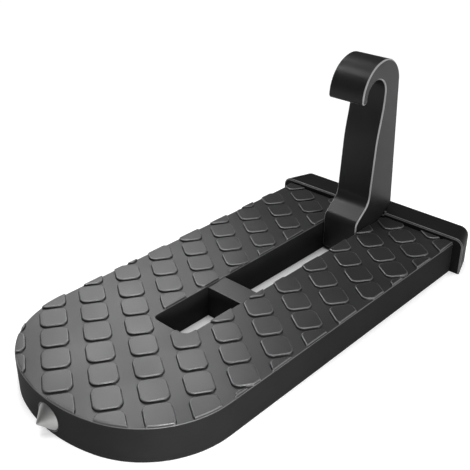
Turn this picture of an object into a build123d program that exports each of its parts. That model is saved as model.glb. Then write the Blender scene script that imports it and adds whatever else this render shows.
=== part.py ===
from build123d import *
import math
import os

# Latch step: a cast foot plate that hangs by its folding hook from the latch bar of a car door.
# Millimetres. +X runs along the plate to its rounded nose, +Z is up, the underside lies on z = 0.
# Places along the plate are given as distances ahead of its square back end.

# Foot plate
plate_length = 170.3
plate_width = 85.0
deck_z = 13.2
deck_skin = 2.6
skirt_wall = 3.0
nose_radius = 58.2
nose_corner_centre_side = 7.1
deck_edge_chamfer = 0.2

# Slot and the bar that crosses it
slot_width = 16.8
slot_front = 119.2
slot_wall = 3.0
slot_front_corner = 2.5
slot_back_corner = 1.0
front_window = 27.8
bar_width = 9.4
bar_drop = 0.33
bar_core_wall = 2.4

# Underside ribs
rib_thickness = 2.0
rib_pitch = 16.8
rib_rise = 1.6

# Tread: blocks with cut corners on a slanting grid, cut off a little inside the deck's edges
tread_rise = 0.85
tread_row_angle = 55.7
tread_row_pitch = 11.85
tread_column_angle = -32.6
tread_column_pitch = 14.25
tread_block_along = 10.9
tread_block_across = 9.9
tread_block_corner_cut = 1.6
tread_draft = 22.0
tread_centre_ahead = 132.5
tread_centre_side = 1.95
tread_margin = 0.22
tread_least_area = 2.0
tread_whole_margin = 0.01

# Hinge
hinge_ahead = 11.0
hinge_z = 6.6
pin_diameter = 6.0
pin_length = 39.0
pin_gap = 0.05
boss_length = 24.0
boss_end_wall = 2.8
boss_floor_gap = 0.05

# Hook
knuckle_radius = 9.0
knuckle_gap = 0.4
hook_side_gap = 0.15
hook_edge_chamfer = 0.5
foot_floor_z = 0.3
toe_ahead = 20.3
toe_bottom_round = 2.5
toe_top_z = 17.2
toe_top_round = 4.0
shank_root_ahead = 12.0
shank_root_z = 23.9
shank_root_round = 7.0
shank_neck_ahead = 10.2
shank_neck_z = 48.0
heel_behind = 5.9
heel_z = 18.6
heel_round = 1.0
foot_corner_round = 0.6
crown_ahead = 8.4
crown_top_z = 84.7
crown_front_radius = 14.1
crown_back_radius = 11.0
mouth_ahead = 13.1
mouth_below_crown = 13.5
mouth_radius = 6.2
lip_end_below_mouth = 2.0
lip_corner_round = 1.4

# Friction washers, let into the hook's sides round the pin
friction_washer_diameter = 10.0
friction_washer_thickness = 1.3
friction_washer_gap = 0.1
friction_washer_wall_gap = 0.1

# Straps that close the pin's channels from below
strap_thickness = 1.6
strap_width = 7.4
strap_screw_reach = 6.4
strap_screw_diameter = 3.0
strap_head_diameter = 5.2
strap_head_height = 1.5
strap_screw_depth = 6.0
strap_end_margin = 3.0
strap_corner_cut = 1.2

# End bumper and the tongue that it is pushed on to
bumper_depth = 12.6
bumper_height = 15.6
bumper_front_width = 93.8
bumper_back_width = 85.4
bumper_corner_round = 3.5
bumper_edge_chamfer = 0.5
tongue_reach = 9.0
tongue_width = 76.0
tongue_low_z = 4.4
tongue_high_z = 11.2
tongue_gap = 0.1
seat_gap = 0.15
seat_side_gap = 0.6

# Bumper screws and washers
bumper_screw_spacing = 56.0
bumper_screw_behind = 5.0
bumper_screw_diameter = 3.0
bumper_head_diameter = 5.4
bumper_head_height = 1.6
bumper_screw_depth = 5.4
bumper_washer_diameter = 7.0
bumper_washer_thickness = 0.8
bumper_recess_gap = 0.3
bumper_recess_depth = 2.9

# Window-breaking tip
tip_length = 4.2
tip_diameter = 9.6
tip_z = 5.8
tip_flat_diameter = 0.5
tip_spot_depth = 0.35
tip_spot_gap = 0.1
stud_diameter = 5.0
stud_overrun = 1.0
tip_pad_length = 8.0
tip_pad_width = 14.0
tip_washer_diameter = 9.0
tip_washer_thickness = 1.2
tip_washer_split = 0.8
tip_nut_flats = 8.0
tip_nut_height = 4.0
tip_nut_room = 0.8

# Shapes that every round-headed screw shares, as shares of its head or shank
socket_radius_share = 0.36
socket_depth_share = 0.6

# Shared clearances
screw_gap = 0.05
cut_over = 1.0

# Worked out from the above
total_length = bumper_depth + plate_length + tip_length
back_x = bumper_depth - total_length / 2
half_width = plate_width / 2
nose_corner_radius = half_width - nose_corner_centre_side
slot_back = hinge_ahead - knuckle_radius - knuckle_gap
bar_front = slot_front - front_window
hook_width = slot_width - 2 * hook_side_gap
mouth_z = crown_top_z - mouth_below_crown
lip_end_z = mouth_z - lip_end_below_mouth
pin_radius = pin_diameter / 2
boss_floor_z = hinge_z - pin_radius - boss_floor_gap
boss_side = pin_length / 2 + boss_end_wall
cell_top_z = deck_z - deck_skin


def ahead(distance):
    """The x of a place given as its distance ahead of the plate's back end."""
    return back_x + distance


def box_between(x_low, x_high, y_low, y_high, z_low, z_high):
    """A box between two corners, its x values being distances ahead of the plate's back end."""
    size = (x_high - x_low, y_high - y_low, z_high - z_low)
    middle = (ahead((x_low + x_high) / 2), (y_low + y_high) / 2, (z_low + z_high) / 2)
    return Pos(*middle) * Box(*size)


def rod_along_y(x_ahead, z, radius, y_low, y_high):
    """A round rod that lies across the plate."""
    rod = Rot(90, 0, 0) * Cylinder(radius, y_high - y_low)
    return Pos(ahead(x_ahead), (y_low + y_high) / 2, z) * rod


def rod_along_x(x_low, x_high, y, z, radius):
    """A round rod that lies along the plate."""
    rod = Rot(0, 90, 0) * Cylinder(radius, x_high - x_low)
    return Pos(ahead((x_low + x_high) / 2), y, z) * rod


def rod_along_z(x_ahead, y, radius, z_low, z_high):
    """An upright round rod."""
    return Pos(ahead(x_ahead), y, (z_low + z_high) / 2) * Cylinder(radius, z_high - z_low)


def deck_outline(inset):
    """The plate's outline from above, square at the back and round at the nose, drawn in by an inset."""
    nose_centre = plate_length - nose_radius
    half = half_width - inset
    straight = Pos(ahead((inset + nose_centre) / 2), 0) * Rectangle(nose_centre - inset, 2 * half)
    disc = Pos(ahead(nose_centre), 0) * Circle(nose_radius - inset)
    band = Pos(ahead(nose_centre + plate_length / 2), 0) * Rectangle(plate_length, 2 * half)
    outline = straight + (disc & band)
    shoulders = outline.vertices().sort_by(Axis.X)[-2:]
    return fillet(shoulders, nose_corner_radius - inset)


def slot_outline(grow):
    """The slot's outline, from behind the hinge to its front end, grown on every side."""
    length = slot_front - slot_back + 2 * grow
    place = Pos(ahead((slot_back + slot_front) / 2), 0)
    outline = place * Rectangle(length, slot_width + 2 * grow)
    corners = outline.vertices().sort_by(Axis.X)
    outline = fillet(corners[-2:], slot_front_corner + grow)
    return fillet(outline.vertices().sort_by(Axis.X)[:2], slot_back_corner + grow)


def tread_block():
    """One tread block at the origin, its foot sunk a little into the deck, with sides that lean in."""
    base = Rectangle(tread_block_along, tread_block_across)
    base = chamfer(base.vertices(), tread_block_corner_cut)
    return extrude(base, tread_rise, taper=tread_draft) + extrude(base, -cut_over)


def tread_places():
    """The middles of the grid's blocks that can reach the deck."""
    row = math.radians(tread_row_angle)
    column = math.radians(tread_column_angle)
    row_step = (tread_row_pitch * math.cos(row), tread_row_pitch * math.sin(row))
    column_step = (tread_column_pitch * math.cos(column), tread_column_pitch * math.sin(column))
    reach = max(tread_block_along, tread_block_across)
    count = math.ceil((plate_length + plate_width) / min(tread_row_pitch, tread_column_pitch))
    places = []
    for i in range(-count, count + 1):
        for j in range(-count, count + 1):
            x = tread_centre_ahead + i * row_step[0] + j * column_step[0]
            y = tread_centre_side + i * row_step[1] + j * column_step[1]
            if -reach < x < plate_length + reach and abs(y) < half_width + reach:
                places.append((x, y))
    return places


def tread():
    """All the tread blocks, those at an edge cut off along it."""
    land_half = slot_width / 2 + tread_margin
    heel_land = Pos(ahead(0), 0) * Rectangle(2 * slot_back + 2 * slot_back_corner, 2 * land_half)
    field = deck_outline(tread_margin) - slot_outline(tread_margin) - heel_land
    clip = Pos(0, 0, deck_z - 2 * cut_over) * extrude(field, 4 * cut_over)
    turn = (tread_row_angle + tread_column_angle + 90) / 2
    block = tread_block()
    whole_volume = block.volume
    blocks = []
    for x, y in tread_places():
        placed = Pos(ahead(x), y, deck_z) * Rot(0, 0, turn) * block
        cut = placed & clip
        for piece in cut.solids():
            if piece.volume > whole_volume - tread_whole_margin:
                blocks.append(placed)
            elif piece.volume > tread_least_area * (cut_over + tread_rise):
                blocks.append(piece)
    return blocks


def rib_strips():
    """The underside's ribs from above: two pairs run along the plate, the rest cross it."""
    inner = slot_width / 2 + slot_wall / 2
    outer = (slot_width / 2 + slot_wall + half_width - skirt_wall) / 2
    strips = []
    for side in (-1, 1):
        for y in (inner, outer):
            strip = Rectangle(plate_length, rib_thickness)
            strips.append(Pos(ahead(plate_length / 2), side * y) * strip)
    last = slot_front + slot_wall / 2
    first = -math.floor(last / rib_pitch)
    for step in range(first, math.floor((plate_length - last) / rib_pitch) + 1):
        x = last + step * rib_pitch
        strips.append(Pos(ahead(x), 0) * Rectangle(rib_thickness, plate_width))
    return strips


def underside_pockets():
    """What is cored out of the plate from below: the cells between the ribs, and a thin layer under the ribs."""
    hinge_block = Pos(ahead(boss_length / 2), 0) * Rectangle(boss_length, 2 * boss_side)
    pad_back = plate_length - tip_pad_length
    tip_pad = Pos(ahead(pad_back + plate_length / 2), 0) * Rectangle(plate_length, tip_pad_width)
    room = deck_outline(skirt_wall) - slot_outline(slot_wall) - hinge_block - tip_pad
    nut_room_length = tip_washer_thickness + tip_nut_height + stud_overrun + tip_nut_room
    nut_room = Pos(ahead(pad_back - nut_room_length / 2), 0) * Rectangle(nut_room_length, tip_pad_width)
    cells = room
    for strip in rib_strips():
        cells = cells - strip
    cells = cells + (nut_room & room)
    return [extrude(cells, cell_top_z), extrude(room, rib_rise)]


def cross_bar():
    """The bar across the slot, cored from below as the ribs are."""
    back = bar_front - bar_width
    half = slot_width / 2 + slot_wall / 2
    bar = box_between(back, bar_front, -half, half, 0, deck_z - bar_drop)
    core_half = slot_width / 2 - bar_core_wall
    core_top = deck_z - bar_drop - deck_skin
    core = box_between(back + bar_core_wall, bar_front - bar_core_wall, -core_half, core_half, 0, core_top)
    return bar - core


def tongue():
    """The flat tongue behind the plate that the bumper is pushed on to, with its two screw holes."""
    body = box_between(-tongue_reach, cut_over, -tongue_width / 2, tongue_width / 2, tongue_low_z, tongue_high_z)
    for side in (-1, 1):
        radius = bumper_screw_diameter / 2 + screw_gap
        top = tongue_low_z + bumper_screw_depth + screw_gap
        y = side * bumper_screw_spacing / 2
        body -= rod_along_z(-bumper_screw_behind, y, radius, tongue_low_z - cut_over, top)
    return body


def pin_channel():
    """The channel for the hinge pin, open below, with a round top that carries the load."""
    radius = pin_radius + pin_gap
    half = pin_length / 2 + pin_gap
    round_top = rod_along_y(hinge_ahead, hinge_z, radius, -half, half)
    way_in = box_between(hinge_ahead - radius, hinge_ahead + radius, -half, half, -cut_over, hinge_z)
    return round_top + way_in


def strap_side():
    """The distance of the straps' middle from the plate's middle."""
    return pin_length / 2 - strap_width / 2


def strap_screw_places():
    """Where the strap screws stand, two in each strap."""
    places = []
    for side in (-1, 1):
        for way in (-1, 1):
            places.append((hinge_ahead + way * strap_screw_reach, side * strap_side()))
    return places


def hinge_bosses_cut():
    """The room under the hinge bosses for the straps, the pin's channel and the strap screws' holes."""
    low = hinge_ahead - strap_screw_reach - strap_end_margin - knuckle_gap
    inner = slot_width / 2 + slot_wall
    cuts = [pin_channel()]
    for side in (-1, 1):
        y_low, y_high = sorted((side * inner, side * boss_side))
        cuts.append(box_between(low, boss_length, y_low, y_high, -cut_over, boss_floor_z))
    radius = strap_screw_diameter / 2 + screw_gap
    for x, y in strap_screw_places():
        top = boss_floor_z + strap_screw_depth + screw_gap
        cuts.append(rod_along_z(x, y, radius, 0, top))
    return cuts


def tip_seat_cut():
    """The flat spot and the hole for the window-breaking tip."""
    spot_radius = tip_diameter / 2 + tip_spot_gap
    spot = rod_along_x(plate_length - tip_spot_depth, plate_length + cut_over, 0, tip_z, spot_radius)
    hole_radius = stud_diameter / 2 + screw_gap
    pad_back = plate_length - tip_pad_length
    hole = rod_along_x(pad_back - cut_over, plate_length, 0, tip_z, hole_radius)
    return [spot, hole]


def step_plate():
    """The cast foot plate with its tread, slot, cross-bar, ribs, hinge bosses and tongue."""
    deck = extrude(deck_outline(0) - slot_outline(0), deck_z)
    rim = deck.faces().sort_by(Axis.Z)[-1].edges()
    deck = chamfer(rim, deck_edge_chamfer)
    for pocket in underside_pockets():
        deck -= pocket
    deck += tongue()
    deck += cross_bar()
    for cut in hinge_bosses_cut() + tip_seat_cut():
        deck -= cut
    return deck + tread()


def seat_line_z(x_ahead, drop):
    """The height of the slope under the hook's heel, lowered by a drop."""
    foot_back = hinge_ahead - knuckle_radius
    slope = (heel_z - deck_z) / (-heel_behind - foot_back)
    return deck_z + slope * (x_ahead - foot_back) - drop


def hook_profile():
    """The hook seen from the side: foot in the slot, set-back shank and the mouth that goes over the latch bar."""
    foot_back = hinge_ahead - knuckle_radius
    floor_drop = hinge_z - foot_floor_z
    floor_angle = math.degrees(math.asin(floor_drop / knuckle_radius))
    floor_start = ahead(hinge_ahead - math.sqrt(knuckle_radius**2 - floor_drop**2))
    crown_x = ahead(crown_ahead)
    mouth_x = ahead(mouth_ahead)
    front_centre = (crown_x, crown_top_z - crown_front_radius)
    back_centre = (crown_x, crown_top_z - crown_back_radius)
    shank_top = (crown_x - crown_back_radius, back_centre[1])
    heel = (ahead(-heel_behind), heel_z)
    foot_corner = (ahead(foot_back), deck_z)
    neck = (ahead(shank_neck_ahead), shank_neck_z)
    root = (ahead(shank_root_ahead), shank_root_z)
    toe_top = (ahead(toe_ahead), toe_top_z)
    toe_bottom = (ahead(toe_ahead), foot_floor_z)
    inner_turn = math.asin((mouth_z - lip_end_z) / mouth_radius)
    outer_turn = math.asin((front_centre[1] - lip_end_z) / crown_front_radius)
    lip_inner = (mouth_x + mouth_radius * math.cos(inner_turn), lip_end_z)
    lip_outer = (crown_x + crown_front_radius * math.cos(outer_turn), lip_end_z)
    outer_degrees = math.degrees(outer_turn)
    back = FilletPolyline(
        shank_top, heel, foot_corner, (ahead(foot_back), hinge_z), radius=[heel_round, foot_corner_round]
    )
    knuckle = CenterArc((ahead(hinge_ahead), hinge_z), knuckle_radius, 180, floor_angle)
    front = FilletPolyline(
        (floor_start, foot_floor_z),
        toe_bottom,
        toe_top,
        root,
        neck,
        radius=[toe_bottom_round, toe_top_round, shank_root_round],
    )
    mouth_back = (mouth_x - mouth_radius, mouth_z)
    rising = (neck[0] - root[0], neck[1] - root[1])
    neck_curve = Spline(neck, mouth_back, tangents=[rising, (0, 1)])
    mouth = CenterArc((mouth_x, mouth_z), mouth_radius, 180, -(180 + math.degrees(inner_turn)))
    lip_end = Line(lip_inner, lip_outer)
    crown_front = CenterArc(front_centre, crown_front_radius, -outer_degrees, 90 + outer_degrees)
    crown_back = CenterArc(back_centre, crown_back_radius, 90, 90)
    outline = back + knuckle + front + neck_curve + mouth + lip_end + crown_front + crown_back
    profile = make_face(outline)
    lip_corners = profile.vertices().sort_by_distance(lip_end @ 0.5)[:2]
    return fillet(lip_corners, lip_corner_round)


def hook_arm():
    """The hook, with its bore for the hinge pin and a recess on each side for a friction washer."""
    hook = extrude(Plane.XZ * hook_profile(), hook_width / 2, both=True)
    sides = hook.faces().sort_by(Axis.Y)
    hook = chamfer(sides[0].edges() + sides[-1].edges(), hook_edge_chamfer)
    half = hook_width / 2
    hook -= rod_along_y(hinge_ahead, hinge_z, pin_radius + pin_gap, -half - cut_over, half + cut_over)
    recess_radius = friction_washer_diameter / 2 + friction_washer_gap
    recess_depth = friction_washer_thickness - hook_side_gap + friction_washer_wall_gap
    for side in (-1, 1):
        y_low, y_high = sorted((side * (half - recess_depth), side * (half + cut_over)))
        hook -= rod_along_y(hinge_ahead, hinge_z, recess_radius, y_low, y_high)
    return hook


def hinge_pin():
    """The plain pin that the hook turns on, held in the plate's channels."""
    half = pin_length / 2
    return rod_along_y(hinge_ahead, hinge_z, pin_radius, -half, half)


def friction_washer(side):
    """The plastic washer between the hook and one side of the slot."""
    outer = slot_width / 2 - friction_washer_wall_gap
    y_low, y_high = sorted((side * outer, side * (outer - friction_washer_thickness)))
    disc = rod_along_y(hinge_ahead, hinge_z, friction_washer_diameter / 2, y_low, y_high)
    hole = rod_along_y(hinge_ahead, hinge_z, pin_radius + friction_washer_gap, y_low, y_high)
    return disc - hole


def pin_strap(side):
    """The steel strap that closes the pin's channel on one side."""
    reach = strap_screw_reach + strap_end_margin
    high_z = boss_floor_z
    low_z = high_z - strap_thickness
    y_middle = side * strap_side()
    strap = box_between(
        hinge_ahead - reach,
        hinge_ahead + reach,
        y_middle - strap_width / 2,
        y_middle + strap_width / 2,
        low_z,
        high_z,
    )
    strap = chamfer(strap.edges().filter_by(Axis.Z), strap_corner_cut)
    for x, y in strap_screw_places():
        strap -= rod_along_z(x, y, strap_screw_diameter / 2 + screw_gap, low_z, high_z)
    return strap


def socket_screw(head_diameter, head_height, diameter, depth, x_ahead, y, head_top_z):
    """A round-headed screw driven upwards, its head below the given height and its shank above."""
    head = rod_along_z(x_ahead, y, head_diameter / 2, head_top_z - head_height, head_top_z)
    shank = rod_along_z(x_ahead, y, diameter / 2, head_top_z, head_top_z + depth)
    socket = extrude(RegularPolygon(diameter * socket_radius_share, 6), head_height * socket_depth_share)
    socket = Pos(ahead(x_ahead), y, head_top_z - head_height) * socket
    return head + shank - socket


def strap_screws():
    """The four screws of the two straps."""
    head_top_z = boss_floor_z - strap_thickness
    depth = strap_thickness + strap_screw_depth
    size = (strap_head_diameter, strap_head_height, strap_screw_diameter, depth)
    return [socket_screw(*size, x, y, head_top_z) for x, y in strap_screw_places()]


def bumper_screw_places():
    """Where the bumper's screws stand."""
    return [(-bumper_screw_behind, side * bumper_screw_spacing / 2) for side in (-1, 1)]


def end_bumper():
    """The rubber bumper across the back end, hollow for the tongue, with its ends cut back at a slant."""
    front_half = bumper_front_width / 2
    back_half = bumper_back_width / 2
    plan = make_face(
        Polyline(
            (ahead(0), -front_half),
            (ahead(0), front_half),
            (ahead(-bumper_depth), back_half),
            (ahead(-bumper_depth), -back_half),
            close=True,
        )
    )
    bumper = extrude(plan, bumper_height)
    ends = bumper.faces().sort_by(Axis.Z)[-1].edges().sort_by(Axis.Y)
    bumper = fillet([ends[0], ends[-1]], bumper_corner_round)
    top = bumper.faces().sort_by(Axis.Z)[-1]
    long_edges = top.edges().filter_by(Axis.Y)
    bumper = chamfer(long_edges, bumper_edge_chamfer)
    half = tongue_width / 2 + tongue_gap
    low_z = tongue_low_z - tongue_gap
    high_z = tongue_high_z + tongue_gap
    bumper -= box_between(-tongue_reach - tongue_gap, cut_over, -half, half, low_z, high_z)
    for x, y in bumper_screw_places():
        radius = bumper_washer_diameter / 2 + bumper_recess_gap
        bumper -= rod_along_z(x, y, radius, -cut_over, bumper_recess_depth)
        bumper -= rod_along_z(x, y, bumper_screw_diameter / 2 + screw_gap, 0, tongue_low_z)
    return bumper - heel_seat_cut()


def heel_seat_cut():
    """The wedge that leaves room for the hook's heel over the bumper's front edge."""
    behind = -heel_behind - cut_over
    half = hook_width / 2 + seat_side_gap
    side_view = make_face(
        Polyline(
            (ahead(behind), seat_line_z(behind, seat_gap)),
            (ahead(cut_over), seat_line_z(cut_over, seat_gap)),
            (ahead(cut_over), heel_z),
            (ahead(behind), heel_z + cut_over),
            close=True,
        )
    )
    return extrude(Plane.XZ * side_view, half, both=True)


def bumper_washers():
    """The flat washers under the bumper's screws."""
    washers = []
    for x, y in bumper_screw_places():
        high_z = bumper_recess_depth
        low_z = high_z - bumper_washer_thickness
        disc = rod_along_z(x, y, bumper_washer_diameter / 2, low_z, high_z)
        washers.append(disc - rod_along_z(x, y, bumper_screw_diameter / 2 + screw_gap, low_z, high_z))
    return washers


def bumper_screws():
    """The two screws that hold the bumper to the tongue."""
    head_top_z = bumper_recess_depth - bumper_washer_thickness
    depth = tongue_low_z - head_top_z + bumper_screw_depth
    size = (bumper_head_diameter, bumper_head_height, bumper_screw_diameter, depth)
    return [socket_screw(*size, x, y, head_top_z) for x, y in bumper_screw_places()]


def hammer_tip():
    """The hard steel cone on the nose, in one with its stud."""
    base_x = plate_length - tip_spot_depth
    stud_end = plate_length - tip_pad_length - tip_washer_thickness - tip_nut_height - stud_overrun
    half_view = make_face(
        Polyline(
            (ahead(plate_length + tip_length), tip_flat_diameter / 2),
            (ahead(plate_length + tip_length), 0),
            (ahead(stud_end), 0),
            (ahead(stud_end), stud_diameter / 2),
            (ahead(base_x), stud_diameter / 2),
            (ahead(base_x), tip_diameter / 2),
            close=True,
        )
    )
    return Pos(0, 0, tip_z) * revolve(half_view, Axis.X)


def tip_washer():
    """The split spring washer behind the pad."""
    high_x = plate_length - tip_pad_length
    low_x = high_x - tip_washer_thickness
    radius = tip_washer_diameter / 2
    ring = rod_along_x(low_x, high_x, 0, tip_z, radius)
    ring -= rod_along_x(low_x, high_x, 0, tip_z, stud_diameter / 2 + screw_gap)
    half_split = tip_washer_split / 2
    return ring - box_between(low_x, high_x, -half_split, half_split, tip_z - radius, tip_z)


def tip_nut():
    """The six-sided nut on the stud, flats up so that it clears the deck."""
    high_x = plate_length - tip_pad_length - tip_washer_thickness
    hexagon = RegularPolygon(tip_nut_flats / 2, 6, major_radius=False, rotation=30)
    body = extrude(Plane.YZ * hexagon, tip_nut_height)
    body = Pos(ahead(high_x - tip_nut_height), 0, tip_z) * body
    return body - rod_along_x(high_x - tip_nut_height, high_x, 0, tip_z, stud_diameter / 2 + screw_gap)


def as_group(pieces):
    """Several solids as one group."""
    solids = []
    for piece in pieces:
        solids.extend(piece.solids())
    return Compound(children=solids)


def main():
    """Builds every sub-part and writes one file for each."""
    parts = {
        "step_plate": step_plate(),
        "hook_arm": hook_arm(),
        "hinge_pin": hinge_pin(),
        "near_friction_washer": friction_washer(1),
        "far_friction_washer": friction_washer(-1),
        "near_pin_strap": pin_strap(1),
        "far_pin_strap": pin_strap(-1),
        "strap_screws": as_group(strap_screws()),
        "end_bumper": end_bumper(),
        "bumper_washers": as_group(bumper_washers()),
        "bumper_screws": as_group(bumper_screws()),
        "hammer_tip": hammer_tip(),
        "tip_spring_washer": tip_washer(),
        "tip_nut": tip_nut(),
    }
    os.makedirs("parts", exist_ok=True)
    for name, shape in parts.items():
        export_step(shape, os.path.join("parts", name + ".step"))


main()
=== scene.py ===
"""Looks for a folding car door latch step: finishes, edges, tread, fasteners, studio and camera."""

from __future__ import annotations

import logging
import math
from dataclasses import dataclass, field
from enum import Enum
from typing import Callable, Sequence, Union

import bmesh
import bpy
from mathutils import Matrix, Quaternion, Vector

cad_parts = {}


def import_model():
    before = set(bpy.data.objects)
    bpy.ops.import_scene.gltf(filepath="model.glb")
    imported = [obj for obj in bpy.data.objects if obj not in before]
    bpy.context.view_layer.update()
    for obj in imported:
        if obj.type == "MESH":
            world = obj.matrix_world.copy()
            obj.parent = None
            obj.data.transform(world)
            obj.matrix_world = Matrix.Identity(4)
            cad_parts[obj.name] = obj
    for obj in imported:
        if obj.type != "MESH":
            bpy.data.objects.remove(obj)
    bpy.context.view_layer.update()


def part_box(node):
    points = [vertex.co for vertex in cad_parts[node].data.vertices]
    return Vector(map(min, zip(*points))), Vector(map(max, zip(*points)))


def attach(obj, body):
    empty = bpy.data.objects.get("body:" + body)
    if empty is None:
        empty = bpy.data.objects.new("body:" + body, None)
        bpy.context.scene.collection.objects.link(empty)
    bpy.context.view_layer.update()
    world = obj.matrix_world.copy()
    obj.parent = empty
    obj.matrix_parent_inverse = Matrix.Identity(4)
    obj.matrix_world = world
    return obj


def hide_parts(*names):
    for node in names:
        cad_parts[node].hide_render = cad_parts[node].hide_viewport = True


MM = 0.001
WELD = 0.002 * MM
SPECK = 0.001 * MM
FLAT = math.radians(0.4)
SHARP = math.radians(32)
CREASE = math.radians(46)
FACING_UP = 0.9
SAME_PLACE = 0.1 * MM
# The slot of the rounded edges' lighter coat, which is a painted highlight.
EDGE_HIGHLIGHT_SLOT = 1
# The slot of the side walls' copy of the coat, which has almost no gloss and keeps them dark: painted shade.
SHADED_SIDE_SLOT = 2
WINDING_SIZES = ("Radius", "Pitch", "Start", "Climb", "Depth", "Thickness")
PLATE_BODY = "plate"
HOOK_BODY = "hook"
LOG = logging.getLogger("latch_step")

Piece = bpy.types.Object
Finish = bpy.types.Material
Tree = bpy.types.NodeTree
Triple = tuple[float, float, float]
Colour = Triple
Pair = tuple[float, float]
Plug = Union["Wire", float, int, bool, str, Sequence[float], bpy.types.ID]


class Wire:
    """A node's output socket that takes part in Python arithmetic by adding Math nodes."""

    def __init__(self, board: "Board", socket: bpy.types.NodeSocket) -> None:
        """Keeps the socket and the board that it belongs to.

        Args:
            board: The node board that new Math nodes go to.
            socket: The output socket.
        """
        self.board = board
        self.socket = socket

    def maths(self, operation: str, *others: Plug, clamp: bool = False) -> "Wire":
        """Adds one Math node.

        Args:
            operation: The Math node's operation.
            others: The second and third values.
            clamp: Whether the result is held between 0 and 1.

        Returns:
            The result's wire.
        """
        values = {index: value for index, value in enumerate((self, *others))}
        return self.board.node("ShaderNodeMath", {"operation": operation, "use_clamp": clamp}, values)

    def __add__(self, other: Plug) -> "Wire":
        """Adds."""
        return self.maths("ADD", other)

    def __radd__(self, other: Plug) -> "Wire":
        """Adds, with the number on the left."""
        return self.maths("ADD", other)

    def __sub__(self, other: Plug) -> "Wire":
        """Subtracts."""
        return self.maths("SUBTRACT", other)

    def __rsub__(self, other: Plug) -> "Wire":
        """Subtracts from a number on the left."""
        return (self * -1.0) + other

    def __mul__(self, other: Plug) -> "Wire":
        """Multiplies."""
        return self.maths("MULTIPLY", other)

    def __rmul__(self, other: Plug) -> "Wire":
        """Multiplies, with the number on the left."""
        return self.maths("MULTIPLY", other)

    def __truediv__(self, other: Plug) -> "Wire":
        """Divides."""
        return self.maths("DIVIDE", other)

    def beside(self, output: int | str) -> "Wire":
        """Another output of the same node."""
        return Wire(self.board, self.socket.node.outputs[output])

    def absolute(self) -> "Wire":
        """The size without its sign."""
        return self.maths("ABSOLUTE")

    def held(self) -> "Wire":
        """Held between 0 and 1."""
        return self.maths("ADD", 0.0, clamp=True)

    def spread(self, contrast: float) -> "Wire":
        """Spread further about a half, and held between 0 and 1."""
        return ((self - 0.5) * contrast + 0.5).held()

    def step(self, low: float, high: float) -> "Wire":
        """A smooth rise from 0 at low to 1 at high.

        Args:
            low: Where the rise starts.
            high: Where the rise ends.

        Returns:
            The risen value's wire.
        """
        ranges = {"interpolation_type": "SMOOTHSTEP"}
        return self.board.node("ShaderNodeMapRange", ranges, {0: self, 1: low, 2: high, 3: 0.0, 4: 1.0})


class Board:
    """A node tree with one method that makes any node."""

    def __init__(self, tree: Tree) -> None:
        """Keeps the tree.

        Args:
            tree: A shader, world or geometry tree.
        """
        self.tree = tree

    def node(
        self, kind: str, settings: dict | None = None, values: dict | None = None, out: int | str = 0
    ) -> Wire:
        """Makes one node, sets it up and feeds its sockets.

        Args:
            kind: The node's type name.
            settings: The node's own properties, which are set first.
            values: Values or wires by socket name or number, and a list for a socket that takes several.
            out: The output that is returned.

        Returns:
            The output's wire.
        """
        made = self.tree.nodes.new(kind)
        for name, value in (settings or {}).items():
            setattr(made, name, value)
        for key, value in (values or {}).items():
            for item in value if isinstance(value, list) else [value]:
                self.feed(made.inputs[key], item)
        return Wire(self, made.outputs[out]) if len(made.outputs) else Wire(self, None)

    def feed(self, socket: bpy.types.NodeSocket, value: Plug) -> None:
        """Links a wire to a socket, or sets the socket's own value.

        Args:
            socket: The input socket.
            value: A wire or a plain value.
        """
        if isinstance(value, Wire):
            self.tree.links.new(value.socket, socket)
        else:
            socket.default_value = value

    def mix_colour(self, factor: Plug, first: Plug, second: Plug) -> Wire:
        """Mixes two colours.

        Args:
            factor: 0 for the first colour and 1 for the second.
            first: A colour or its wire.
            second: A colour or its wire.

        Returns:
            The mixed colour's wire.
        """
        values = {0: factor, 6: opaque(first), 7: opaque(second)}
        return self.node("ShaderNodeMix", {"data_type": "RGBA"}, values, out=2)

    def noise(self, where: Wire, size_mm: float, detail: float, stretch: Triple = (1.0, 1.0, 1.0)) -> Wire:
        """A noise pattern in the object's own coordinates.

        Args:
            where: The coordinates.
            size_mm: The size of the pattern's grains.
            detail: The noise's octaves.
            stretch: How much the pattern is squeezed along each axis.

        Returns:
            The noise's value, near 0.5 on average.
        """
        placed = self.node("ShaderNodeMapping", {}, {"Vector": where, "Scale": stretch})
        values = {"Vector": placed, "Scale": 1 / (size_mm * MM), "Detail": detail}
        return self.node("ShaderNodeTexNoise", {}, values)


def opaque(colour: Plug) -> Plug:
    """A plain colour with its alpha of 1, and a wire as it is."""
    return colour if isinstance(colour, Wire) else (*colour, 1.0)


class Edge(Enum):
    """How a piece's edges are finished."""

    CRISP = 0.12
    EASED = 0.22
    SOFT = 0.4


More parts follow.
